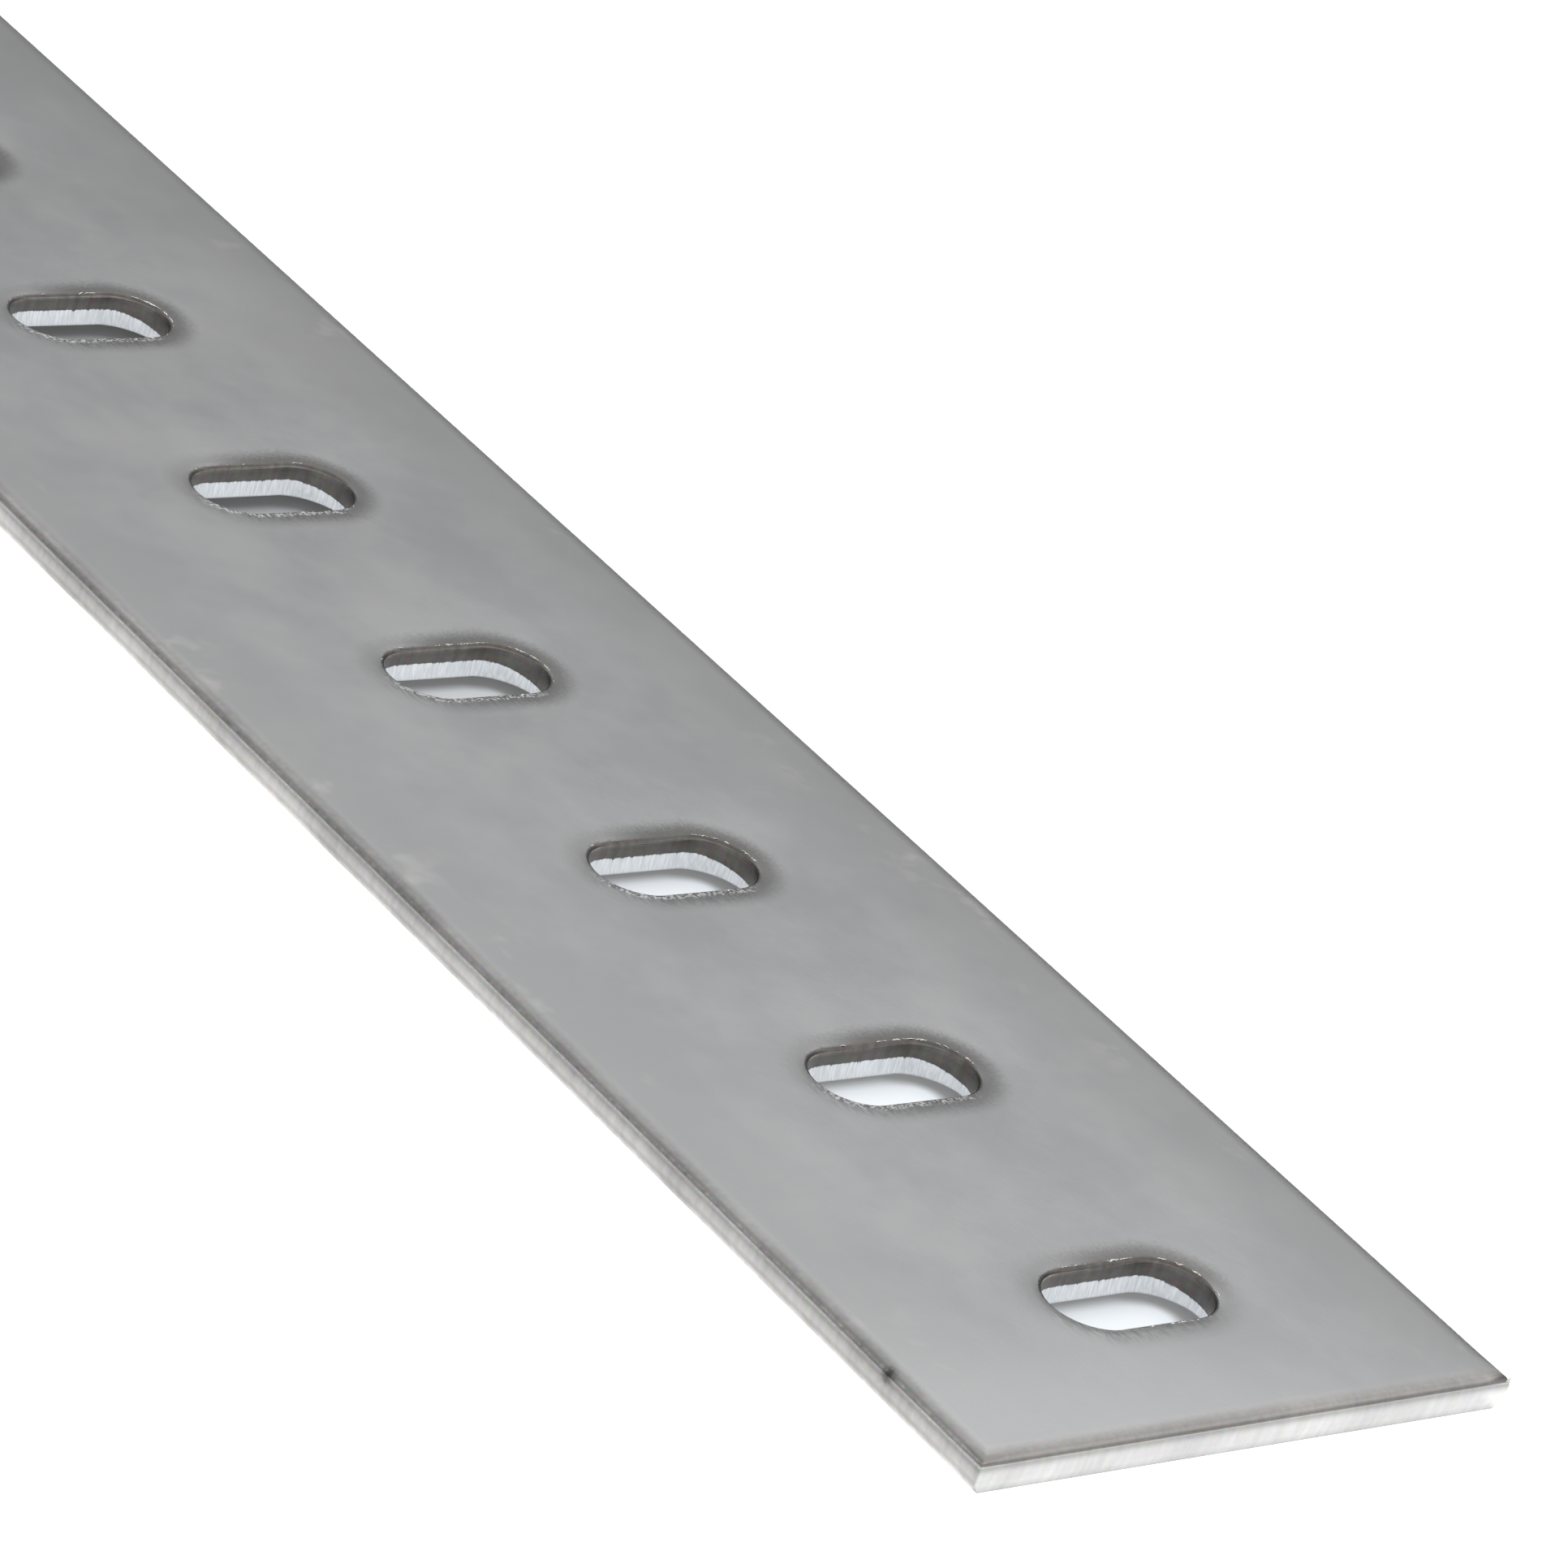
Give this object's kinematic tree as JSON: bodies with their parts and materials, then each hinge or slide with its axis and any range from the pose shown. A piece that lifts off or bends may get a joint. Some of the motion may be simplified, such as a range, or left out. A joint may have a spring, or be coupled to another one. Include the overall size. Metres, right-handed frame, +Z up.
{
  "type": "perforated flat bar",
  "caption": "Long thin aluminium flat bar with a single row of punched round-ended slots running across it, for brackets, straps and light framing.",
  "frame": {"origin": "middle of the underside: the centre of the bounding box's base", "axes": "+X along the bar towards the end whose first slot is 10.7 mm in, +Y across it, +Z up out of the punched face"},
  "size_m": [1, 0.0356, 0.002],
  "materials": {
    "aluminium": "mill finish, sheared edges left bright"
  },
  "bodies": {
    "root": {"flat_bar": "aluminium"}
  },
  "joints": []
}
